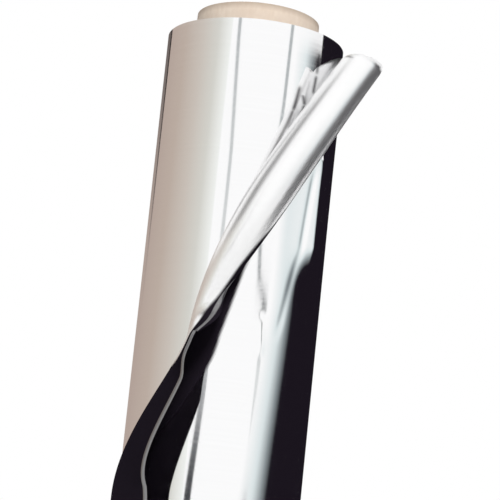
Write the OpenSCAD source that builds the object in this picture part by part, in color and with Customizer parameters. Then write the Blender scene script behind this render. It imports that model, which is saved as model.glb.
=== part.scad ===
// Aluminium foil roll, standing on one end of its board core.
// The outermost turn has come loose. Its leading edge runs slantwise round the front:
// the upper part is curled outward into a tapered tube, which opens near its foot into a
// flap that stands off the roll, folded back more and more on its way down.
// Angles are round the roll's axis, with -90 at the front, 0 at the right and
// -180 at the left. Depths are measured down from the top edge of the foil.

/* [Foil] */
// Width of the foil, which is the length of the winding
foil_w = 300; // [200:1:450]
// Thickness of the wound foil, from the core to the outside
wound_t = 7; // [3:0.25:24]
// Turns whose edges stand a little back at each end of the winding
edge_rings = 5; // [0:1:8]
// Depth to which those edges stand back
ring_depth = 0.35; // [0.1:0.05:1]
// Width of each group of turns that stands back
ring_w = 0.3; // [0.1:0.05:0.5]

/* [Core] */
// Outer diameter of the board core, which is also the bore of the winding
core_d = 32; // [20:0.5:34]
// Wall of the board core
core_wall = 2; // [0.8:0.1:4]
// Length of core that stands out beyond the foil at each end
core_out = 6.7; // [2:0.1:15]

/* [Loose turn] */
// Thickness with which the loose turn is drawn
sheet_t = 0.3; // [0.2:0.05:0.5]
// Gap between the winding and the loose turn where it lies close
sheet_gap = 0.2; // [0.1:0.05:0.6]
// Distance by which the loose turn ends short of the winding's two ends
edge_inset = 0.4; // [0.2:0.1:2]
// Angle at the back at which the turn leaves the winding
root_angle = 115; // [80:1:140]

/* [Curl] */
// Depth of the foot of the curl's open upper end
curl_depth = 7.5; // [2:0.5:15]
// Depth of the pinch at the lower end of the curl
pinch_depth = 84.5; // [70:0.5:100]
// Angle of the curl's foot at its open end
curl_angle = -36.5; // [-60:0.5:-20]
// Angle of the curl's foot at the pinch
pinch_angle = -111; // [-125:1:-95]
// Distance by which the foot of the open end stands off the winding
curl_lift = 4.6; // [1:0.1:9]
// Length along the roll in which the curl comes down on the winding
curl_seat = 45; // [25:1:65]
// Radius of the curl at its open end
curl_r = 5.3; // [2.5:0.1:6]
// Radius of the curl where it is fattest
curl_mid_r = 5.6; // [2.5:0.1:6.5]
// Radius of the fold at the pinch and below it
fold_r = 0.9; // [0.6:0.05:1.5]
// Angle through which the sheet is rolled up in the curl
curl_turn = 290; // [240:5:310]
// Distance by which the free corner of the curl stands out past its foot
curl_skew = 3.8; // [0:0.1:6]
// Straight width beyond the rolled-up part of the curl
curl_lip = 0.3; // [0.1:0.1:2]

/* [Flap] */
// Angle at which the fold runs down the side of the roll
flap_angle = -149; // [-165:1:-135]
// Length along the roll in which the fold swings round to that angle
flap_run = 40; // [25:1:50]
// Width of the flap
flap_w = 13.2; // [4:0.2:18]
// Angle through which the sheet is turned back where the flap stands up at the pinch
flap_open = 118; // [100:1:150]
// Angle through which it is turned back further down
flap_turn = 165; // [120:1:175]
// Length along the roll in which the flap folds down to that angle
flap_shut = 42; // [25:1:60]
// Distance by which the fold stands off the winding where it flares
flare = 3.3; // [1:0.1:8]
// Distance by which the fold stands off the winding at the lower end
flare_end = 1.5; // [0.5:0.1:4]

/* [Free edge] */
// Radius of the small roll of the free edge along the curl
lip_r = 1.1; // [0.5:0.05:1.5]
// Radius of that roll along the flap
lip_end_r = 0.4; // [0.35:0.05:1]
// Angle through which the free edge is rolled
lip_turn = 78; // [20:1:90]

/* [Ridge] */
// Angle at which the curl's pull leaves a ridge in the loose turn
ridge_angle = -37; // [-50:1:-10]
// Angle within which the sheet rises to the ridge, from the front
ridge_rise = 20; // [8:1:30]
// Angle within which the sheet falls again beyond the ridge
ridge_fall = 16; // [8:1:30]
// Height of the ridge
ridge_h = 1.8; // [0:0.1:3]
// Depth at which the ridge starts to rise
ridge_top = 22; // [10:1:40]
// Depth at which the ridge starts to fade
ridge_end = 56; // [40:1:80]
// Length along the roll in which it rises or fades
ridge_fade = 14; // [6:1:30]

/* [Hidden] */
$fn = 96;

core_len = foil_w + 2 * core_out;
foil_r = core_d / 2 + wound_t;
foil_top = core_out + foil_w;
ring_pitch = wound_t / (edge_rings + 1);

// The loose turn is a grid of rows down the roll and columns from its root to its edge
upper_rows = 28;
lower_rows = 8;
last_row = upper_rows + lower_rows;
wrap_cols = 44;
arc_cols = 13;
tail_cols = 1;
lip_cols = 3;
last_col = wrap_cols + arc_cols + tail_cols + lip_cols;
// Rows are closer together down to this depth, which takes in the whole flare
settle_run = foil_w / 30;
close_depth = pinch_depth + flap_run + settle_run;
// The root dives into the winding within this angle, and by this depth
root_span = 5;
root_dive = wound_t / 7;
// Angles at which the turn starts to lift off the winding, beside curl and flap
curl_lift_angle = 15;
flap_lift_angle = -115;
// Depth at which the curl starts to open into the flap, and the length this takes
change_depth = pinch_depth - 21.5;
change_run = 23;
// Depth at which the flap starts to widen, and the length this takes
widen_depth = pinch_depth - 16.5;
widen_run = 24;
// Depth at which the roll of the free edge starts to tighten, and the length this takes
tighten_depth = pinch_depth - 10;
tighten_run = 14;
// The flare starts this far below the pinch
flare_start = 3;
// Shares of the curl's length at which it is fattest, starts to taper, and loses its slant
fat_at = 0.4;
taper_at = 0.45;
slant_to = 0.4;

function clamp(x) = min(1, max(0, x));
function ease(x) = let (c = clamp(x)) c * c * (3 - 2 * c);
function mix(a, b, x) = a + (b - a) * x;

// Position along the curl, from 0 at its open end to 1 at the pinch
function curl_pos(d) = (d - curl_depth) / (pinch_depth - curl_depth);

// Angle of the foot of the curl, or of the fold, at depth d
function foot_angle(d) = d < pinch_depth
    ? mix(curl_angle, pinch_angle, curl_pos(d))
    : mix(pinch_angle, flap_angle, sin(90 * pow(clamp((d - pinch_depth) / flap_run), 1.25)));

// Distance by which the foot stands off the sheet's resting radius
function foot_lift(d) = d < pinch_depth
    ? curl_lift * pow(clamp(1 - (d - curl_depth) / curl_seat), 2)
    : mix(flare, flare_end, ease((d - close_depth) / (foil_w - close_depth)))
        * ease((d - pinch_depth - flare_start) / flap_run);

// Angle at which the turn starts to lift off, beside the foot at depth d
function lift_angle(d) = mix(curl_lift_angle, flap_lift_angle,
    ease((d - change_depth) / (pinch_depth + settle_run - change_depth)));

// Radius of the curl, or of the fold, at depth d
function hem_r(d) = mix(mix(curl_r, curl_mid_r, ease(curl_pos(d) / fat_at)),
    fold_r, pow(clamp((curl_pos(d) - taper_at) / (1 - taper_at)), 1.9));

// Angle through which the sheet is turned at depth d
function hem_turn(d) = mix(curl_turn, flap_open, ease((d - change_depth) / change_run))
    + (flap_turn - flap_open) * pow(clamp((d - pinch_depth) / flap_shut), 1.1);

// Straight width beyond the turned part at depth d
function hem_w(d) = mix(curl_lip, flap_w, ease((d - widen_depth) / widen_run));

// Radius of the small roll of the free edge at depth d
function edge_r(d) = mix(lip_r, lip_end_r, ease((d - tighten_depth) / tighten_run));

// How much of the open end's slant is left at depth d
function end_slant(d) = pow(clamp(1 - curl_pos(d) / slant_to), 2);

// Share of the way from lift-off to foot, at angle a
function lift_share(a, d) = clamp((lift_angle(d) - a) / (lift_angle(d) - foot_angle(d)));

// Height of the ridge beside the curl, at angle a: a flat rise to its crest, and a soft fall
function ridge(a, d) = ridge_h * pow(clamp(1 + (a - ridge_angle) / ridge_rise), 2)
    * (1 - ease((a - ridge_angle) / ridge_fall))
    * ease((d - ridge_top) / ridge_fade) * (1 - ease((d - ridge_end) / ridge_fade));

// The middle of the wrapped sheet at angle a, in the row whose foot is at depth d
rest_r = foil_r + sheet_gap + sheet_t / 2;
function wrap_r(a, d) = rest_r + foot_lift(d) * pow(lift_share(a, d), 2);
function wrap_depth(a, d) = d - (curl_depth - edge_inset) * end_slant(d) * (1 - pow(lift_share(a, d), 2));
function wrap_point(a, d) = let (r = wrap_r(a, d) + ridge(a, d))
    [r * cos(a), r * sin(a), foil_top - wrap_depth(a, d)];

// Direction square to the wrapped sheet, level, pointing away from the roll
function wrap_normal(a, d) =
    let (s = lift_share(a, d),
         span = (lift_angle(d) - foot_angle(d)) * PI / 180,
         tilt = atan2(2 * foot_lift(d) * s / span, wrap_r(a, d)))
    [cos(a + tilt), sin(a + tilt), 0];

// The foot's own frame: along the fold, toward the sheet, and away from the roll
function unit(v) = v / norm(v);
function foot(d) = wrap_point(foot_angle(d), d);
function along(d) = unit(foot(d - 0.1) - foot(d + 0.1));
function inward(d) = unit(cross(along(d), wrap_normal(foot_angle(d), d)));
function outward(d) = cross(inward(d), along(d));

// A point of the turned-back part: q degrees round the bend, w beyond it, k degrees round
// the small roll of the free edge, and moved by h along the sheet's own normal
function hem_point(d, q, w, k, h) =
    let (r = hem_r(d), b = inward(d), n = outward(d), e = edge_r(d),
         slide = curl_skew * end_slant(d) * (q - 90) / 180,
         ahead = w + e * sin(k) - h * sin(k),
         aside = e * (1 - cos(k)) + h * cos(k))
    foot(d) + n * (r * (1 - cos(q)) + ahead * sin(q) + aside * cos(q))
        + b * (-r * sin(q) - ahead * cos(q) + aside * sin(q)) + along(d) * slide;

// Depth of a row at the foot
function row_depth(j) = j <= upper_rows
    ? mix(curl_depth, close_depth, j / upper_rows)
    : mix(close_depth, foil_w - edge_inset, (j - upper_rows) / lower_rows);

// A point of the sheet in column i and row j, h outward from its middle
function sheet_point(i, j, h) =
    let (d = row_depth(j), k = i - wrap_cols - arc_cols - tail_cols)
    i == 0 ? root_point(d, h)
    : i <= wrap_cols
        ? let (a = mix(root_angle, foot_angle(d), (i - 1) / (wrap_cols - 1)))
            wrap_point(a, d) + h * wrap_normal(a, d)
    : i <= wrap_cols + arc_cols
        ? hem_point(d, hem_turn(d) * (i - wrap_cols) / arc_cols, 0, 0, h)
    : hem_point(d, hem_turn(d), hem_w(d), lip_turn * k / lip_cols, h);

function root_point(d, h) =
    let (a = root_angle + root_span, p = wrap_point(root_angle, d), r = foil_r - root_dive + h)
    [r * cos(a), r * sin(a), p[2]];

module loose_turn() {
    cols = last_col + 1;
    side = cols * (last_row + 1);
    points = [for (h = [sheet_t / 2, -sheet_t / 2]) for (j = [0:last_row]) for (i = [0:last_col])
        sheet_point(i, j, h)];
    function quad(a, b, c, d) = [[a, b, c], [a, c, d]];
    faces = [
        for (j = [0:last_row - 1]) for (i = [0:last_col - 1])
            let (p = j * cols + i, q = p + cols)
            each concat(quad(p, q, q + 1, p + 1),
                quad(side + p, side + p + 1, side + q + 1, side + q)),
        for (j = [0:last_row - 1])
            let (p = j * cols, q = p + cols, e = last_col)
            each concat(quad(p, side + p, side + q, q), quad(p + e, q + e, side + q + e, side + p + e)),
        for (i = [0:last_col - 1])
            let (p = i, q = last_row * cols + i)
            each concat(quad(p, p + 1, side + p + 1, side + p), quad(q, side + q, side + q + 1, q + 1))
    ];
    polyhedron(points, faces);
}

module tube(outer_r, inner_r, length) {
    difference() {
        cylinder(r = outer_r, h = length);
        translate([0, 0, -1]) cylinder(r = inner_r, h = length + 2);
    }
}

// Groups of turns whose edges stand back from the ends of the winding
module edge_grooves() {
    for (k = [1:1:edge_rings])
        for (z = [core_out - 1, foil_top - ring_depth])
            translate([0, 0, z])
                tube(core_d / 2 + k * ring_pitch + ring_w / 2, core_d / 2 + k * ring_pitch - ring_w / 2,
                    1 + ring_depth);
}

module core() {
    color("burlywood") tube(core_d / 2, core_d / 2 - core_wall, core_len);
}

module foil() {
    color("silver") union() {
        difference() {
            translate([0, 0, core_out]) tube(foil_r, core_d / 2, foil_w);
            edge_grooves();
        }
        loose_turn();
    }
}

core();
foil();
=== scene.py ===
"""An aluminium foil roll, standing on one end of its board core, in a white studio.

The frame gives the roll's main sizes, and the board core keeps its own solid. The foil is built again
here as two finer pieces, the winding and its loose outermost turn, in the form of the solid they replace.
"""

import math

import bpy
import numpy as np
from mathutils import Matrix, Vector

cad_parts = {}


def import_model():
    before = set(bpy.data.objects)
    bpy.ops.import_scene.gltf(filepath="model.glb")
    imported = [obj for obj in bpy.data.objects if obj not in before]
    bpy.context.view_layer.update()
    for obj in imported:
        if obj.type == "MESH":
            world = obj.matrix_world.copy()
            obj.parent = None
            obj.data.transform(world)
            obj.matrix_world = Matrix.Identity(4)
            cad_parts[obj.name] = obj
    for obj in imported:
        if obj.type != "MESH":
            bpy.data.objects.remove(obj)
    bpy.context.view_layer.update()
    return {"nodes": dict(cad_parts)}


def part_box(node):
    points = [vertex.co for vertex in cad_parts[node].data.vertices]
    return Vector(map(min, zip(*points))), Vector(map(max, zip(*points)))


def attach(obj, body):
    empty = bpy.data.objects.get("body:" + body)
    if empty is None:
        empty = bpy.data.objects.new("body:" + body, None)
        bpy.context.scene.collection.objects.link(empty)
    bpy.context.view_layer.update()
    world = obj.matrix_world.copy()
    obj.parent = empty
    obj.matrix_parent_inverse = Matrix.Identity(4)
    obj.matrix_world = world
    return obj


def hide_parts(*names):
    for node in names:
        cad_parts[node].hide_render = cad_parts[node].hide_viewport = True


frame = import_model()

MM = 0.001

# Sizes of the roll, in metres, taken from the frame where it has them
core_low, core_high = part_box("core")
foil_low, foil_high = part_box("foil")
CORE_R = (core_high[0] - core_low[0]) / 2
CORE_TOP = core_high[2]
FOIL_TOP = foil_high[2]
FOIL_LOW = foil_low[2]
FOIL_W = FOIL_TOP - FOIL_LOW
FOIL_R = 23 * MM

# The loose turn has the sizes of the part's source, but it is thinner, and its free edge is rolled wider.
# Angles go round the axis in degrees, with -90 at the front. Depths go down from the foil's top edge
SHEET_T = 0.04 * MM
# Distance from the winding to the middle of the sheet
SHEET_GAP = 0.33 * MM
# Distance by which the turn ends short of the winding's two ends
EDGE_INSET = 0.4 * MM
# The root at the back, and the angle over which the sheet comes off the winding there
ROOT_ANGLE = 115.0
ROOT_RISE = 12.0
# The curl, from its open end down to the pinch, and the angle of its foot at both
CURL_DEPTH = 7.5 * MM
PINCH_DEPTH = 84.5 * MM
CURL_ANGLE = -36.5
PINCH_ANGLE = -111.0
# Distance by which its foot stands off at the open end, and the length in which it comes down
CURL_LIFT = 4.6 * MM
CURL_SEAT = 45 * MM
# Its radius at the open end and where it is fattest, and the radius of the fold from the pinch on
CURL_R = 5.3 * MM
CURL_MID_R = 5.6 * MM
FOLD_R = 0.9 * MM
# Shares of the curl's length at which it is fattest, and from which it tapers to the pinch
FATTEST_AT = 0.4
TAPER_AT = 0.45
# Angle through which it is rolled up, how far its free corner stands out past its foot, and the share
# of its length over which the slant of the open end fades
CURL_TURN = 290.0
CURL_SKEW = 3.8 * MM
SLANT_RUN = 0.4
# Angle to which the flap's foot swings round, and the length in which it does
FLAP_ANGLE = -149.0
FLAP_RUN = 40 * MM
# Straight width beyond the curl, and of the flap, and where the one widens into the other
CURL_LIP = 0.3 * MM
FLAP_W = 13.2 * MM
WIDEN_DEPTH = PINCH_DEPTH - 16.5 * MM
WIDEN_RUN = 24 * MM
# Where the curl opens into the flap, and the angle through which the flap is turned there
CHANGE_DEPTH = PINCH_DEPTH - 21.5 * MM
CHANGE_RUN = 23 * MM
FLAP_OPEN = 118.0
# Angle to which the flap folds back below the pinch, the length in which it does, and the shares of that
# length at which it slows down, and over which it then stops
FLAP_TURN = 165.0
FLAP_SHUT = 42 * MM
SLOW_AT = 0.85
SLOW_RUN = 0.3
# Distance by which the fold stands off, where it has settled and at the lower edge, and where this starts
FLARE = 3.3 * MM
FLARE_END = 1.5 * MM
FLARE_DEPTH = PINCH_DEPTH + 3 * MM
SETTLE_RUN = 10 * MM
CLOSE_DEPTH = PINCH_DEPTH + FLAP_RUN + SETTLE_RUN
# The small roll of the free edge: its radius on the curl and on the flap, where it changes, and its angle
LIP_R = 1.1 * MM
LIP_END_R = 0.85 * MM
TIGHTEN_DEPTH = PINCH_DEPTH - 10 * MM
TIGHTEN_RUN = 14 * MM
LIP_TURN = 78.0
# Angle at which the turn starts to lift off, beside the curl and beside the flap
CURL_LIFT_ANGLE = 15.0
FLAP_LIFT_ANGLE = -115.0

# A ridge in the loose turn, on the right of the curl: the angle of its crest, the angles over which it
# rises and falls, its height, the depths between which it runs, and the length of its soft ends
RIDGE_ANGLE = -37.0
RIDGE_RISE = 20.0
RIDGE_FALL = 16.0
RIDGE_H = 1.8 * MM
RIDGE_TOP = 22 * MM
RIDGE_END = 56 * MM
RIDGE_FADE = 14 * MM

# Small creases in the loose turn, below the ridge and along the curl's foot: (angle, depth) at the upper
# and the lower end, height, and width in degrees
CREASES = [
    ((-41, 34 * MM), (-46, 62 * MM), -0.16 * MM, 1.8),
    ((-45, 56 * MM), (-58, 84 * MM), -0.07 * MM, 2.2),
    ((-69, 76 * MM), (-66, 88 * MM), 0.08 * MM, 1.6),
]

# Sharp wrinkles in the winding beside the curl, not built but painted as thin lines of shade:
# (angle, depth) at both ends, and darkness
WRINKLES = [
    ((-44.0, 5.0 * MM), (-44.8, 11.5 * MM), 0.75),
    ((-44.7, 11.0 * MM), (-46.6, 17.0 * MM), 0.85),
    ((-57.2, 15.0 * MM), (-61.0, 23.0 * MM), 0.85),
    ((-60.8, 22.0 * MM), (-63.8, 28.0 * MM), 0.5),
    ((-54.9, 17.5 * MM), (-52.3, 20.4 * MM), 0.8),
    ((-52.3, 19.9 * MM), (-54.8, 23.5 * MM), 0.8),
]
WRINKLE_W = 0.55 * MM
# Share of a crease's and of a wrinkle's length over which each end fades
CREASE_END = 0.25
WRINKLE_END = 0.2

# Painted shade, by depth below the pinch, which is negative above it. Each span is a start and a run.
# In the gap, on the wrapped sheet, it has a width, and an edge that goes from sharp to soft
SHADE_COLOUR = (0.013, 0.010, 0.015)
GAP_START = (-24 * MM, 7 * MM)
GAP_FADE = (50 * MM, 60 * MM)
GAP_FADED = 0.4
GAP_SOFTEN = (15 * MM, 25 * MM)
GAP_WIDEN = (-18 * MM, 24 * MM)
GAP_W_ABOVE = 4.4 * MM
GAP_W_PINCH = 7.8 * MM
GAP_W_BELOW = 4.5 * MM
GAP_SHARP = 0.9 * MM
GAP_SOFT = 9 * MM
# On the dull face, the painted shade starts at a line along the curl's underside, and covers the face
# below the pinch
FACE_START = (-38 * MM, 12 * MM)
FACE_FADE = (46 * MM, 24 * MM)
FACE_COVER = (4 * MM, 7 * MM)
FACE_LINE = 7.3 * MM
FACE_LINE_RISE = 0.5
FACE_EDGE = 1 * MM
# The rolled edge gets less of the painted shade, from a start above the pinch on. Above the pinch, the
# free edge bulges
LINE_START = (-24 * MM, 8 * MM)
LINE_W = 1.3 * MM
LINE_INNER_EDGE = 0.15 * MM
LINE_OUTER_EDGE = 0.2 * MM
LINE_TONE = 0.75
BULGE = 1 * MM
BULGE_DEPTH = -6.5 * MM
BULGE_RUN = 4.5 * MM
FACE_BULGE_SHARE = 1.8

# Columns and rows of the loose turn's mesh. The share of its way that is at the back has fewer columns
BACK_COLS = 24
FRONT_COLS = 126
BACK_SHARE = 0.35
WRAP_COLS = BACK_COLS + FRONT_COLS
ARC_COLS = 40
TAIL_COLS = 36
LIP_COLS = 8
UPPER_ROWS = 150
LOWER_ROWS = 50

# Columns, end rings and rows of the winding's mesh, with closer rows where the wrinkles are
WINDING_COLS = 360
END_RINGS = 24
WALL_ROWS = 50
WRINKLE_ROWS = 90
WRINKLE_ZONE = 40 * MM
# Angle between two faces from which their edge is sharp
SHARP_ANGLE = math.radians(40)


def clamp(x):
    """The value x, held between 0 and 1."""
    return np.clip(x, 0.0, 1.0)


def ease(x):
    """A smooth step from 0 to 1, as x goes from 0 to 1."""
    c = clamp(x)
    return c * c * (3 - 2 * c)


def mix(a, b, x):
    """The value at share x of the way from a to b."""
    return a + (b - a) * x


def unit(v):
    """Vectors of length 1 along v."""
    return v / np.linalg.norm(v, axis=-1, keepdims=True)


def polar(r, a, z):
    """Points at radius r and angle a in degrees, at height z."""
    t = np.radians(a)
    return np.stack(np.broadcast_arrays(r * np.cos(t), r * np.sin(t), z), -1)


def curl_pos(d):
    """Position along the curl, from 0 at its open end to 1 at the pinch."""
    return (d - CURL_DEPTH) / (PINCH_DEPTH - CURL_DEPTH)


def foot_angle(d):
    """Angle of the foot of the curl, or of the fold, at depth d."""
    upper = mix(CURL_ANGLE, PINCH_ANGLE, curl_pos(d))
    swing = np.sin(np.radians(90 * clamp((d - PINCH_DEPTH) / FLAP_RUN) ** 1.25))
    return np.where(d < PINCH_DEPTH, upper, mix(PINCH_ANGLE, FLAP_ANGLE, swing))


def foot_lift(d):
    """Distance by which the foot stands off the sheet's resting radius."""
    upper = CURL_LIFT * clamp(1 - (d - CURL_DEPTH) / CURL_SEAT) ** 2
    settle = ease((d - CLOSE_DEPTH) / (FOIL_W - CLOSE_DEPTH))
    lower = mix(FLARE, FLARE_END, settle) * ease((d - FLARE_DEPTH) / FLAP_RUN)
    return np.where(d < PINCH_DEPTH, upper, lower)


def lift_angle(d):
    """Angle at which the turn starts to lift off, beside the foot at depth d."""
    share = ease((d - CHANGE_DEPTH) / (PINCH_DEPTH + SETTLE_RUN - CHANGE_DEPTH))
    return mix(CURL_LIFT_ANGLE, FLAP_LIFT_ANGLE, share)


def hem_r(d):
    """Radius of the curl, or of the fold."""
    full = mix(CURL_R, CURL_MID_R, ease(curl_pos(d) / FATTEST_AT))
    return mix(full, FOLD_R, clamp((curl_pos(d) - TAPER_AT) / (1 - TAPER_AT)) ** 1.9)


def hem_turn(d):
    """Angle through which the sheet is turned."""
    opened = mix(CURL_TURN, FLAP_OPEN, ease((d - CHANGE_DEPTH) / CHANGE_RUN))
    run = np.maximum((d - PINCH_DEPTH) / FLAP_SHUT, 0)
    last = clamp((run - SLOW_AT) / SLOW_RUN)
    shut = (np.minimum(run, SLOW_AT) + SLOW_RUN * (last - last**2 / 2)) ** 1.1
    return opened + (FLAP_TURN - FLAP_OPEN) * shut


def hem_w(d):
    """Straight width beyond the turned part."""
    return mix(CURL_LIP, FLAP_W, ease((d - WIDEN_DEPTH) / WIDEN_RUN))


def edge_r(d):
    """Radius of the small roll of the free edge."""
    return mix(LIP_R, LIP_END_R, ease((d - TIGHTEN_DEPTH) / TIGHTEN_RUN))


def end_slant(d):
    """How much of the open end's slant is left."""
    return clamp(1 - curl_pos(d) / SLANT_RUN) ** 2


def lift_share(a, d):
    """How far angle a is on the way from where the turn lifts off to the foot."""
    return clamp((lift_angle(d) - a) / (lift_angle(d) - foot_angle(d)))


def ridge(a, d):
    """Height of the ridge that the curl's pull leaves in the sheet."""
    fade = ease((d - RIDGE_TOP) / RIDGE_FADE) * (1 - ease((d - RIDGE_END) / RIDGE_FADE))
    rise = clamp(1 + (a - RIDGE_ANGLE) / RIDGE_RISE) ** 2
    fall = 1 - ease((a - RIDGE_ANGLE) / RIDGE_FALL)
    return RIDGE_H * fade * rise * fall


def creases(a, d):
    """Height of the small creases in the loose turn."""
    height = 0 * a * d
    for (a0, d0), (a1, d1), h, width in CREASES:
        share = (d - d0) / (d1 - d0)
        ends = ease(share / CREASE_END) * ease((1 - share) / CREASE_END)
        height = height + h * ends * np.exp(-(((a - mix(a0, a1, share)) / width) ** 2))
    return height


def wrap_point(a, d):
    """The middle of the wrapped sheet at angle a, in the row whose foot is at depth d."""
    share = lift_share(a, d)
    r = FOIL_R + SHEET_GAP + foot_lift(d) * share**2 + ridge(a, d)
    depth = d - (CURL_DEPTH - EDGE_INSET) * end_slant(d) * (1 - share**2)
    return polar(r, a, FOIL_TOP - depth)


def wrap_normal(a, d):
    """Direction out of the wrapped sheet, level with the floor."""
    share = lift_share(a, d)
    span = np.radians(lift_angle(d) - foot_angle(d))
    r = FOIL_R + SHEET_GAP + foot_lift(d) * share**2
    tilt = np.degrees(np.arctan2(2 * foot_lift(d) * share / span, r))
    return polar(1.0, a + tilt, 0.0)


def foot_frame(d):
    """The foot's own frame: along the fold, toward the sheet, and away from the roll."""
    step = 0.1 * MM
    above = wrap_point(foot_angle(d - step), d - step)
    below = wrap_point(foot_angle(d + step), d + step)
    along = unit(above - below)
    inward = unit(np.cross(along, wrap_normal(foot_angle(d), d)))
    return along, inward, np.cross(inward, along)


def hem_point(d, q, w, lip):
    """Points of the turned-back part: q degrees round the bend, w beyond it, and lip degrees
    round the small roll of the free edge."""
    d, q, w, lip = np.broadcast_arrays(d, q, w, lip)
    q, w, lip = q[..., None], w[..., None], lip[..., None]
    r = hem_r(d)[..., None]
    along, inward, outward = foot_frame(d)
    s, c = np.sin(np.radians(q)), np.cos(np.radians(q))
    slide = CURL_SKEW * end_slant(d)[..., None] * (q - 90) / 180
    foot = wrap_point(foot_angle(d), d)
    small = edge_r(d)[..., None]
    ahead = w + small * np.sin(np.radians(lip))
    aside = small * (1 - np.cos(np.radians(lip)))
    point = foot + outward * (r * (1 - c) + ahead * s) - inward * (r * s + ahead * c)
    return point + aside * (outward * c + inward * s) + along * slide


def steps(n):
    """Shares of the way at which n columns stand, the last of them at its end."""
    return np.linspace(0, 1, n + 1)[None, 1:]


def sheet_grid():
    """The loose turn's middle surface, one row of points for each depth, and the painted shade on both
    sides.
    """
    upper = np.linspace(CURL_DEPTH, CLOSE_DEPTH, UPPER_ROWS, endpoint=False)
    lower = np.linspace(CLOSE_DEPTH, FOIL_W - EDGE_INSET, LOWER_ROWS)
    d = np.concatenate([upper, lower])[:, None]
    across = np.concatenate([np.linspace(0, BACK_SHARE, BACK_COLS, endpoint=False),
                             np.linspace(BACK_SHARE, 1, FRONT_COLS)])[None, :]
    a = mix(ROOT_ANGLE, foot_angle(d), across)
    wrap = wrap_point(a, d) + creases(a, d)[..., None] * polar(1.0, a, 0.0)
    shrink = mix(FOIL_R / (FOIL_R + SHEET_GAP), 1, ease((ROOT_ANGLE - a) / ROOT_RISE))
    wrap[..., :2] *= shrink[..., None]
    arc = hem_point(d, hem_turn(d) * steps(ARC_COLS), 0, 0)
    tail = hem_point(d, hem_turn(d), hem_w(d) * steps(TAIL_COLS), 0)
    lip = hem_point(d, hem_turn(d), hem_w(d), LIP_TURN * steps(LIP_COLS))
    grid = np.concatenate([wrap, arc, tail, lip], 1)
    gap = np.zeros(grid.shape[:2])
    gap[:, :WRAP_COLS] = np.radians(a - foot_angle(d)) * FOIL_R
    turned = np.broadcast_to(np.arange(grid.shape[1]) >= WRAP_COLS, gap.shape)
    return grid, painted_fold_shade(d, turned, gap), painted_face_shade(d, turned, distance_from_edge(d))


def distance_from_edge(d):
    """Distance of each column from the start of the free edge's small roll, along the sheet. The
    wrapped sheet counts as far away."""
    wrap = np.full((len(d), WRAP_COLS), 1.0)
    arc = hem_r(d) * np.radians(hem_turn(d)) * (1 - steps(ARC_COLS)) + hem_w(d)
    tail = hem_w(d) * (1 - steps(TAIL_COLS))
    lip = -edge_r(d) * np.radians(LIP_TURN) * steps(LIP_COLS)
    return np.concatenate([wrap, arc, tail, lip], 1)


def come_in(below, span):
    """A smooth step from 0 to 1 over a span of depths below the pinch."""
    start, run = span
    return ease((below - start) / run)


def painted_fold_shade(d, turned, foot_gap):
    """Painted shade behind the curl's opening and the flap: full on the turned part's own inner side, and
    on the wrapped sheet as far as the sheet hangs over it, with a sharp end above and a soft one below."""
    below = d - PINCH_DEPTH
    start = come_in(below, GAP_START) * mix(1, GAP_FADED, come_in(below, GAP_FADE))
    soften = come_in(below, GAP_SOFTEN)
    widen = clamp((below - GAP_WIDEN[0]) / GAP_WIDEN[1])
    width = mix(mix(GAP_W_ABOVE, GAP_W_PINCH, widen), GAP_W_BELOW, soften)
    soft = mix(GAP_SHARP, GAP_SOFT, soften)
    return start * np.where(turned, 1.0, 1 - ease((foot_gap - width) / soft + 0.5))


def painted_face_shade(d, turned, from_edge):
    """Painted shade and dark reflection on the dull side: from a straight line along the curl's underside
    to the free edge, and lower down over the whole face of the flap. The rolled edge itself stays lighter."""
    below = d - PINCH_DEPTH
    from_foot = hem_r(d) * np.radians(hem_turn(d)) + hem_w(d) - from_edge
    # Both lines run straighter than the free edge, which bulges a little above the pinch
    bulge = BULGE * np.exp(-(((below - BULGE_DEPTH) / BULGE_RUN) ** 2))
    line = mix(FACE_LINE, -FACE_EDGE, come_in(below, FACE_COVER))
    line = line + FACE_LINE_RISE * np.maximum(-below, 0) - FACE_BULGE_SHARE * bulge
    face = come_in(below, FACE_START) * ease((from_foot - line) / FACE_EDGE + 0.5)
    inset = from_edge - bulge
    lighter = (1 - ease(inset / LINE_INNER_EDGE + 1)) * ease((inset + LINE_W) / LINE_OUTER_EDGE)
    lighter = lighter * (below > LINE_START[0])
    tone = mix(1.0, LINE_TONE, come_in(below, LINE_START))
    return mix(face, tone, lighter) * (1 - come_in(below, FACE_FADE)) * turned


def grid_normals(grid):
    """Unit normals of a grid of points, on the side that faces away from the roll where it is wrapped."""
    du = np.gradient(grid, axis=1)
    dv = np.gradient(grid, axis=0)
    return unit(np.cross(du, dv))


def add_piece(name, verts, faces, materials, indices=None):
    """A smooth-shaded mesh object. The indices say which of the materials each face has."""
    mesh = bpy.data.meshes.new(name)
    mesh.from_pydata([tuple(v) for v in verts], [], faces)
    for m in materials:
        mesh.materials.append(m)
    if indices is not None:
        mesh.polygons.foreach_set("material_index", indices)
    mesh.polygons.foreach_set("use_smooth", [True] * len(mesh.polygons))
    mesh.update()
    obj = bpy.data.objects.new(name, mesh)
    bpy.context.collection.objects.link(obj)
    return obj


def grid_faces(rows, cols, start=0, flip=False):
    """Four-sided faces between the points of a grid, the first of which has the number start."""
    faces = []
    for j in range(rows - 1):
        for i in range(cols - 1):
            p = start + j * cols + i
            f = (p, p + cols, p + cols + 1, p + 1)
            faces.append(f[::-1] if flip else f)
    return faces


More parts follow.
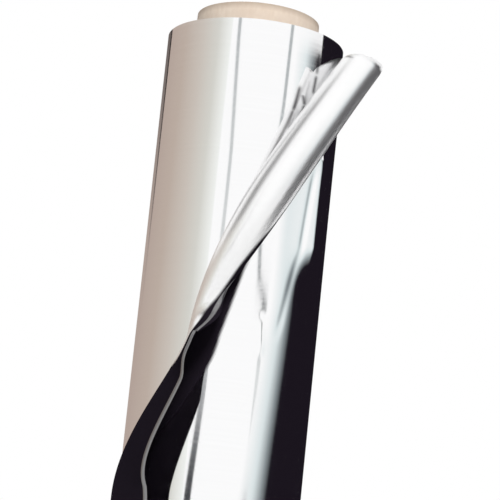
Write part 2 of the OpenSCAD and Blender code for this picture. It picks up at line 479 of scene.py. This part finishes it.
def loose_turn(bright, dull):
    """The loose outermost turn: the sheet's two sides, joined round its rim."""
    grid, back_shade, front_shade = sheet_grid()
    rows, cols = grid.shape[:2]
    normal = grid_normals(grid)
    outer = (grid + normal * SHEET_T / 2).reshape(-1, 3)
    inner = (grid - normal * SHEET_T / 2).reshape(-1, 3)
    n = rows * cols
    front = grid_faces(rows, cols, 0, flip=True)
    back = grid_faces(rows, cols, n)
    rim = []
    last = cols - 1
    for j in range(rows - 1):
        p = j * cols
        rim.append((p, n + p, n + p + cols, p + cols))
        rim.append((p + last, p + cols + last, n + p + cols + last, n + p + last))
    for i in range(cols - 1):
        q = (rows - 1) * cols + i
        rim.append((i, i + 1, n + i + 1, n + i))
        rim.append((q, n + q, n + q + 1, q + 1))
    indices = [0] * len(front) + [1] * len(back) + [0] * len(rim)
    obj = add_piece("loose_turn", np.concatenate([outer, inner]), front + back + rim,
                    [bright, dull], indices)
    # The painted shade on both sides, which the materials mix in as a dark matt colour
    layer = obj.data.attributes.new("painted_fold_shade", "FLOAT", "POINT")
    layer.data.foreach_set("value", np.concatenate([back_shade.ravel(), front_shade.ravel()]))
    return obj


def painted_wrinkle_shade(point):
    """Painted shade of the wrinkles at points of the winding's wall."""
    a = np.degrees(np.arctan2(point[:, 1], point[:, 0]))
    d = FOIL_TOP - point[:, 2]
    shade = np.zeros(len(point))
    for (a0, d0), (a1, d1), dark in WRINKLES:
        share = (d - d0) / (d1 - d0)
        ends = ease(share / WRINKLE_END) * ease((1 - share) / WRINKLE_END)
        aside = np.radians(a - mix(a0, a1, share)) * FOIL_R / WRINKLE_W
        shade = np.maximum(shade, dark * ends * np.exp(-(aside**2)))
    return shade


def winding(bright, edge):
    """The wound turns: an outer wall, and two ends that run in to the core."""
    a = np.linspace(0, 360, WINDING_COLS, endpoint=False)
    radii = [CORE_R] + [mix(CORE_R, FOIL_R, k / END_RINGS) for k in range(1, END_RINGS)]
    zone = FOIL_TOP - WRINKLE_ZONE
    heights = np.concatenate([np.linspace(FOIL_LOW, zone, WALL_ROWS, endpoint=False),
                              np.linspace(zone, FOIL_TOP, WRINKLE_ROWS)])
    profile = [(r, FOIL_LOW) for r in radii]
    profile += [(FOIL_R, z) for z in heights]
    profile += [(r, FOIL_TOP) for r in reversed(radii)]
    verts = np.concatenate([polar(r, a, z) for r, z in profile])
    faces, indices = [], []
    for j in range(len(profile) - 1):
        on_end = j < END_RINGS or j >= END_RINGS + len(heights) - 1
        below, above = j * WINDING_COLS, (j + 1) * WINDING_COLS
        for i in range(WINDING_COLS):
            k = (i + 1) % WINDING_COLS
            faces.append((below + i, below + k, above + k, above + i))
            indices.append(1 if on_end else 0)
    obj = add_piece("winding", verts, faces, [bright, edge], indices)
    obj.data.set_sharp_from_angle(angle=SHARP_ANGLE)
    # The wrinkles, as painted shade
    layer = obj.data.attributes.new("painted_fold_shade", "FLOAT", "POINT")
    layer.data.foreach_set("value", painted_wrinkle_shade(verts))
    return obj


def new_material(name):
    """A material, with its nodes, its links and its main shader."""
    m = bpy.data.materials.new(name)
    m.use_nodes = True
    nodes, links = m.node_tree.nodes, m.node_tree.links
    return m, nodes, links, nodes["Principled BSDF"]


def shade_folds(nodes, links, shader):
    """Cover a metal with painted shade: a dark matt shader, mixed in by the piece's painted fold shade
    attribute.
    """
    shade = nodes.new("ShaderNodeAttribute")
    shade.attribute_name = "painted_fold_shade"
    dark = nodes.new("ShaderNodeBsdfDiffuse")
    dark.inputs["Color"].default_value = (*SHADE_COLOUR, 1)
    cover = nodes.new("ShaderNodeMixShader")
    links.new(shade.outputs["Fac"], cover.inputs[0])
    links.new(shader.outputs[0], cover.inputs[1])
    links.new(dark.outputs[0], cover.inputs[2])
    links.new(cover.outputs[0], nodes["Material Output"].inputs["Surface"])


def place(nodes):
    """The place of a shaded point, in metres."""
    return nodes.new("ShaderNodeNewGeometry").outputs["Position"]


def noise(nodes, links, stretch, detail=2.0):
    """Noise whose grain is finer along an axis the greater its stretch, per metre."""
    scale = nodes.new("ShaderNodeVectorMath")
    scale.operation = "MULTIPLY"
    scale.inputs[1].default_value = stretch
    grain = nodes.new("ShaderNodeTexNoise")
    grain.inputs["Scale"].default_value = 1.0
    grain.inputs["Detail"].default_value = detail
    links.new(place(nodes), scale.inputs[0])
    links.new(scale.outputs[0], grain.inputs["Vector"])
    return grain.outputs["Fac"]


def math_node(nodes, links, operation, *values):
    """The result of a sum on values, each of which is a number or a socket."""
    node = nodes.new("ShaderNodeMath")
    node.operation = operation
    for socket, value in zip(node.inputs, values):
        if isinstance(value, (int, float)):
            socket.default_value = value
        else:
            links.new(value, socket)
    return node.outputs[0]


def between(nodes, links, value, low, high):
    """A value from 0.3 to 0.7, as noise gives it, turned into one from low to high."""
    spread = nodes.new("ShaderNodeMapRange")
    spread.inputs["From Min"].default_value = 0.3
    spread.inputs["From Max"].default_value = 0.7
    spread.inputs["To Min"].default_value = low
    spread.inputs["To Max"].default_value = high
    links.new(value, spread.inputs["Value"])
    return spread.outputs[0]


def colour_mix(nodes, links, share, a, b):
    """A colour that goes from a to b with share. Each is a colour or a socket."""
    node = nodes.new("ShaderNodeMix")
    node.data_type = "RGBA"
    links.new(share, node.inputs["Factor"])
    for name, value in (("A", a), ("B", b)):
        if isinstance(value, tuple):
            node.inputs[name].default_value = (*value, 1)
        else:
            links.new(value, node.inputs[name])
    return node.outputs["Result"]


def bump(nodes, links, height, depth, shader, after=None):
    """Relief of the given depth, in metres, on a shader."""
    node = nodes.new("ShaderNodeBump")
    node.inputs["Strength"].default_value = 1.0
    node.inputs["Distance"].default_value = depth
    links.new(height, node.inputs["Height"])
    if after is not None:
        links.new(after, node.inputs["Normal"])
    links.new(node.outputs[0], shader.inputs["Normal"])
    return node.outputs[0]


def foil_bright():
    """The foil's polished side, with fine rolling lines and slight waves."""
    m, nodes, links, bsdf = new_material("foil_bright")
    lines = noise(nodes, links, (7, 7, 1400))
    waves = noise(nodes, links, (34, 34, 13), 1.0)
    tone = colour_mix(nodes, links, lines, (0.945, 0.945, 0.95), (0.975, 0.975, 0.98))
    links.new(tone, bsdf.inputs["Base Color"])
    links.new(between(nodes, links, lines, 0.05, 0.09), bsdf.inputs["Roughness"])
    bsdf.inputs["Metallic"].default_value = 1.0
    slow = bump(nodes, links, waves, 0.12 * MM, bsdf)
    bump(nodes, links, lines, 0.0006 * MM, bsdf, slow)
    shade_folds(nodes, links, bsdf)
    return m


def foil_dull():
    """The foil's matt side: a rougher metal with a little plain scatter."""
    m, nodes, links, bsdf = new_material("foil_dull")
    lines = noise(nodes, links, (9, 9, 900))
    grain = noise(nodes, links, (2600, 2600, 2600), 3.0)
    tone = colour_mix(nodes, links, lines, (0.965, 0.965, 0.965), (0.99, 0.99, 0.99))
    links.new(tone, bsdf.inputs["Base Color"])
    links.new(between(nodes, links, grain, 0.275, 0.305), bsdf.inputs["Roughness"])
    bsdf.inputs["Metallic"].default_value = 1.0
    bump(nodes, links, grain, 0.0003 * MM, bsdf)
    scatter = nodes.new("ShaderNodeBsdfDiffuse")
    scatter.inputs["Color"].default_value = (0.9, 0.9, 0.9, 1)
    blend = nodes.new("ShaderNodeMixShader")
    blend.inputs[0].default_value = 0.1
    links.new(bsdf.outputs[0], blend.inputs[1])
    links.new(scatter.outputs[0], blend.inputs[2])
    shade_folds(nodes, links, blend)
    return m


def axis_distance(nodes, links):
    """Distance of a shaded point from the roll's axis."""
    flat = nodes.new("ShaderNodeVectorMath")
    flat.operation = "MULTIPLY"
    flat.inputs[1].default_value = (1, 1, 0)
    length = nodes.new("ShaderNodeVectorMath")
    length.operation = "LENGTH"
    links.new(place(nodes), flat.inputs[0])
    links.new(flat.outputs[0], length.inputs[0])
    return length.outputs["Value"]


def foil_edge():
    """The winding's ends: the edges of many turns, as fine rings."""
    rings_per_metre = 5200
    m, nodes, links, bsdf = new_material("foil_edge")
    rings = nodes.new("ShaderNodeTexNoise")
    rings.noise_dimensions = "1D"
    rings.inputs["Scale"].default_value = 1.0
    rings.inputs["Detail"].default_value = 4.0
    out_from_axis = math_node(nodes, links, "MULTIPLY", axis_distance(nodes, links), rings_per_metre)
    links.new(out_from_axis, rings.inputs["W"])
    turns = rings.outputs["Fac"]
    light = between(nodes, links, turns, 0, 1)
    tone = colour_mix(nodes, links, light, (0.34, 0.34, 0.35), (0.93, 0.93, 0.94))
    links.new(tone, bsdf.inputs["Base Color"])
    links.new(between(nodes, links, turns, 0.5, 0.3), bsdf.inputs["Roughness"])
    bsdf.inputs["Metallic"].default_value = 1.0
    bump(nodes, links, turns, 0.06 * MM, bsdf)
    return m


# The board core: the climb of its spiral seam in one turn, the seam's width as a share of that climb,
# the thickness of a ply, and the length over which it gets darker towards each end, with its darkness at
# the rim
SEAM_CLIMB = 62 * MM
SEAM_SHARE = 0.006
PLY_T = 0.25 * MM
END_DARK_RUN = 1.8 * MM
END_DARK_SHARE = 0.65


def board():
    """Wound board: a spiral seam, fibres, and a darkening towards both ends outside, and the plies' edges
    at the ends.
    """
    m, nodes, links, bsdf = new_material("board")
    fibre = noise(nodes, links, (900, 900, 420), 5.0)
    cloud = noise(nodes, links, (90, 90, 60), 2.0)
    split = nodes.new("ShaderNodeSeparateXYZ")
    links.new(place(nodes), split.inputs[0])
    turn = math_node(nodes, links, "ARCTAN2", split.outputs["Y"], split.outputs["X"])
    turn = math_node(nodes, links, "DIVIDE", turn, 2 * math.pi)
    climb = math_node(nodes, links, "DIVIDE", split.outputs["Z"], SEAM_CLIMB)
    along = math_node(nodes, links, "FRACT", math_node(nodes, links, "ADD", turn, climb))
    seam = math_node(nodes, links, "LESS_THAN", along, SEAM_SHARE)
    light = between(nodes, links, fibre, 0, 1)
    plain = colour_mix(nodes, links, light, (0.72, 0.60, 0.49), (0.79, 0.68, 0.57))
    plain = colour_mix(nodes, links, between(nodes, links, cloud, 0, 0.5), plain, (0.68, 0.55, 0.45))
    outside = colour_mix(nodes, links, seam, plain, (0.42, 0.33, 0.26))
    # Darker towards each end
    end_dark = nodes.new("ShaderNodeMapRange")
    end_dark.inputs["From Min"].default_value = CORE_TOP / 2 - END_DARK_RUN
    end_dark.inputs["From Max"].default_value = CORE_TOP / 2
    end_dark.inputs["To Max"].default_value = END_DARK_SHARE
    from_middle = math_node(nodes, links, "SUBTRACT", split.outputs["Z"], CORE_TOP / 2)
    links.new(math_node(nodes, links, "ABSOLUTE", from_middle), end_dark.inputs["Value"])
    outside = colour_mix(nodes, links, end_dark.outputs[0], outside, (0.36, 0.27, 0.20))
    ply = math_node(nodes, links, "MULTIPLY", axis_distance(nodes, links), math.pi / PLY_T)
    ply = math_node(nodes, links, "ABSOLUTE", math_node(nodes, links, "SINE", ply))
    ply = math_node(nodes, links, "POWER", ply, 0.4)
    plies = colour_mix(nodes, links, ply, (0.36, 0.28, 0.21), plain)
    face = nodes.new("ShaderNodeSeparateXYZ")
    links.new(nodes.new("ShaderNodeNewGeometry").outputs["True Normal"], face.inputs[0])
    upright = math_node(nodes, links, "ABSOLUTE", face.outputs["Z"])
    on_end = math_node(nodes, links, "GREATER_THAN", upright, 0.7)
    links.new(colour_mix(nodes, links, on_end, outside, plies), bsdf.inputs["Base Color"])
    links.new(between(nodes, links, fibre, 0.9, 0.75), bsdf.inputs["Roughness"])
    bump(nodes, links, fibre, 0.08 * MM, bsdf)
    return m


def floor_sheet():
    """A pale matt sheet with a faint grain."""
    m, nodes, links, bsdf = new_material("floor")
    grain = noise(nodes, links, (90, 90, 90), 4.0)
    tone = colour_mix(nodes, links, grain, (0.86, 0.86, 0.86), (0.90, 0.90, 0.90))
    links.new(tone, bsdf.inputs["Base Color"])
    links.new(between(nodes, links, grain, 0.7, 0.6), bsdf.inputs["Roughness"])
    return m


# The studio: a white surround with dark, grey and warm cards, which only reflections see. Each layer of
# cards has its own distance from the roll's axis, so that the nearer one covers the one behind
CARD_R = 0.55
STRIP_R = CARD_R - 0.004
LINE_R = CARD_R + 0.005
BACK_R = CARD_R + 0.01
CARD_COLS = 60
STRIP_ROWS = 80
# Azimuths of the main card on the right, and heights at which the cards meet and end. The lowest one
# laps over the one above it
RIGHT_SIDES = (-36, 90)
LOW_Z = 0.26
SPLIT_Z = 0.36
RIGHT_TOP = 0.47
LEFT_TOP = 0.49
LAP = 0.002
# Strength of the surround as a light. In a mirror and to the camera, its strength is 1
WORLD_LIGHT = 0.22
# Half of the floor's side, in metres
FLOOR_HALF = 30

# The camera stands low in front of the roll, whose upper part fills its view
SENSOR = 36
LENS = 7.431 * SENSOR
CAMERA_SPOT = Vector((0, -0.930, 0.014))
CAMERA_AIM = Vector((0.004, 0, 0.2516))
CAMERA_ROLL = math.radians(5.92)


def glow(name, stops, up=False):
    """A card's own light, by stops of (share, colour) across it, or up it."""
    m = bpy.data.materials.new(name)
    m.use_nodes = True
    nodes, links = m.node_tree.nodes, m.node_tree.links
    nodes.clear()
    out = nodes.new("ShaderNodeOutputMaterial")
    emit = nodes.new("ShaderNodeEmission")
    ramp = nodes.new("ShaderNodeValToRGB")
    split = nodes.new("ShaderNodeSeparateXYZ")
    coord = nodes.new("ShaderNodeTexCoord")
    points = ramp.color_ramp.elements
    while len(points) < len(stops):
        points.new(0.5)
    for point, (share, colour) in zip(points, stops):
        point.position = share
        point.color = (*linear(colour), 1)
    links.new(coord.outputs["UV"], split.inputs[0])
    links.new(split.outputs["Y" if up else "X"], ramp.inputs["Fac"])
    links.new(ramp.outputs["Color"], emit.inputs["Color"])
    links.new(emit.outputs[0], out.inputs["Surface"])
    return m


def linear(colour):
    """Scene-linear values of a colour that is written as it shows on a screen, from 0 to 255."""
    return [(c / 255 / 12.92) if c < 10 else ((c / 255 + 0.055) / 1.055) ** 2.4 for c in colour]


def screen(name, lower, upper, material):
    """A card between a lower and an upper row of points, seen only in reflections."""
    n = len(lower)
    obj = add_piece(name, np.concatenate([lower, upper]), grid_faces(2, n), [material])
    uv = obj.data.uv_layers.new(name="UVMap")
    for loop in obj.data.loops:
        v = loop.vertex_index
        uv.data[loop.index].uv = ((v % n) / (n - 1), v // n)
    obj.visible_camera = False
    obj.visible_diffuse = False
    obj.visible_shadow = False
    obj.visible_transmission = False


def card(name, sides, z0, z1, material, r=CARD_R, upper_sides=None):
    """A curved card round the roll, between two azimuths and two heights."""
    below = np.linspace(*sides, CARD_COLS)
    above = np.linspace(*(upper_sides or sides), CARD_COLS)
    screen(name, polar(r, below, z0), polar(r, above, z1), material)


def ribbon(name, course, material):
    """A narrow upright strip. Its course is a list of (height, azimuth, width), from below."""
    heights, middles, widths = np.array(course).T
    z = np.linspace(heights[0], heights[-1], STRIP_ROWS)
    middle = np.interp(z, heights, middles)
    half = np.interp(z, heights, widths) / 2
    screen(name, polar(STRIP_R, middle - half, z), polar(STRIP_R, middle + half, z), material)


def world():
    """White to the camera and in mirrors, and a weaker light on everything else."""
    w = bpy.data.worlds.new("studio")
    bpy.context.scene.world = w
    w.use_nodes = True
    nodes, links = w.node_tree.nodes, w.node_tree.links
    rays = nodes.new("ShaderNodeLightPath")
    seen = math_node(nodes, links, "MAXIMUM", rays.outputs["Is Camera Ray"], rays.outputs["Is Glossy Ray"])
    seen = math_node(nodes, links, "MAXIMUM", seen, rays.outputs["Is Transmission Ray"])
    strength = nodes.new("ShaderNodeMapRange")
    strength.inputs["To Min"].default_value = WORLD_LIGHT
    links.new(seen, strength.inputs["Value"])
    nodes["Background"].inputs["Color"].default_value = (1, 1, 1, 1)
    links.new(strength.outputs[0], nodes["Background"].inputs["Strength"])


def lamp(name, azimuth, elevation, share, spread):
    """A soft far lamp that lights a facing white surface to the given share of white."""
    data = bpy.data.lights.new(name, "SUN")
    data.energy = share * math.pi
    data.angle = math.radians(spread)
    obj = bpy.data.objects.new(name, data)
    bpy.context.collection.objects.link(obj)
    a, e = math.radians(azimuth), math.radians(elevation)
    toward = Vector((math.cos(a) * math.cos(e), math.sin(a) * math.cos(e), math.sin(e)))
    obj.rotation_euler = toward.to_track_quat("Z", "Y").to_euler()
    obj.visible_glossy = False
    obj.visible_camera = False


def camera():
    """Low in front of the roll, looking up at its upper part, and leaning a little."""
    data = bpy.data.cameras.new("camera")
    cam = bpy.data.objects.new("camera", data)
    bpy.context.collection.objects.link(cam)
    bpy.context.scene.camera = cam
    data.sensor_width = SENSOR
    data.lens = LENS
    data.clip_start = 0.05
    turn = (CAMERA_AIM - CAMERA_SPOT).to_track_quat("-Z", "Y").to_matrix().to_4x4()
    cam.matrix_world = Matrix.Translation(CAMERA_SPOT) @ turn @ Matrix.Rotation(CAMERA_ROLL, 4, "Z")


bright = foil_bright()
dull = foil_dull()
edge = foil_edge()
core_board = board()
turn_piece = loose_turn(bright, dull)
winding_piece = winding(bright, edge)
for piece in (turn_piece, winding_piece):
    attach(piece, "root")
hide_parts("foil")
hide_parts("foil")
core = frame["nodes"]["core"]
core.data.materials.clear()
core.data.materials.append(core_board)

# What the foil mirrors: cards from the right round the back to the left, and two narrow strips in front
WHITE = (253, 253, 253)
BLACK = (27, 22, 30)
right = glow("right_card", [(0, WHITE), (0.12, (222, 231, 232)), (0.2, (140, 148, 151)), (0.26, BLACK),
                            (1, BLACK)])
left = glow("left_card", [(0, (180, 163, 154)), (0.4, (189, 174, 163)), (0.65, (203, 194, 185)),
                          (0.85, (214, 213, 206)), (1, (244, 246, 243))])
left_line = glow("left_line_card", [(0, (180, 163, 154)), (0.2, (165, 150, 143)), (0.4, (112, 103, 99)),
                                    (0.75, (44, 40, 40)), (1, (24, 21, 23))], up=True)
left_rim = glow("left_rim_card", [(0.5, (184, 167, 158)), (0.8, (176, 160, 151)), (0.87, (154, 140, 133)),
                                  (0.93, (124, 114, 110)), (1, (96, 88, 85))], up=True)
right_strip = glow("right_strip_card", [(0, (66, 66, 70)), (0.15, (74, 74, 78)), (0.22, (160, 160, 163)),
                                        (0.27, (212, 214, 214)), (0.38, (226, 229, 229)),
                                        (0.43, (120, 122, 124)), (0.5, (126, 128, 130)),
                                        (0.6, (190, 194, 195)), (1, (170, 175, 177))])
left_strip = glow("left_strip_card", [(0, (50, 50, 54)), (0.15, (60, 60, 64)), (0.22, (90, 91, 94)),
                                      (0.3, (165, 166, 168)), (0.55, (215, 218, 218)),
                                      (1, (172, 176, 178))])
line = glow("line_card", [(0, WHITE), (0.3, (120, 118, 118)), (0.6, (96, 94, 96)), (1, WHITE)])
black = glow("black_card", [(0, BLACK), (1, BLACK)])
card("card_right", RIGHT_SIDES, SPLIT_Z, RIGHT_TOP, right)
card("card_right_low", (-58, 90), LOW_Z, SPLIT_Z, right, upper_sides=RIGHT_SIDES)
card("card_right_foot", (-20, 31), 0.08, LOW_Z + LAP, black)
card("card_right_top", (5, 80), RIGHT_TOP, 0.8, black)
card("card_left_rim", (90, 121), 0.0, LEFT_TOP, left_rim)
card("card_left", (118, 238), 0.0, LEFT_TOP, left, r=BACK_R)
card("card_left_line", (118, 126), SPLIT_Z, LEFT_TOP, left_line, r=LINE_R)
card("card_left_top", (170, 232), 0.5, 1.5, line)
ribbon("strip_right", [(0.24, -46, 9), (0.28, -46, 8), (0.31, -46, 4.5), (0.345, -45, 4),
                       (0.357, -45, 7), (0.368, -56, 4), (0.385, -60, 4), (0.42, -50, 4),
                       (0.443, -46, 4), (0.49, -44, 4)], right_strip)
ribbon("strip_left", [(0.24, -117, 9), (0.28, -116, 8), (0.32, -110, 6), (0.395, -107, 4),
                      (0.42, -107, 4), (0.47, -113, 4), (0.49, -113, 4)], left_strip)
world()
camera()

lamp("key", -82, 42, 0.95, 20)
lamp("top", 60, 70, 0.18, 40)

corners = [(x * FLOOR_HALF, y * FLOOR_HALF, 0) for x, y in ((-1, -1), (1, -1), (1, 1), (-1, 1))]
floor = add_piece("floor", corners, [(0, 1, 2, 3)], [floor_sheet()])

bpy.context.scene.view_settings.view_transform = "Standard"
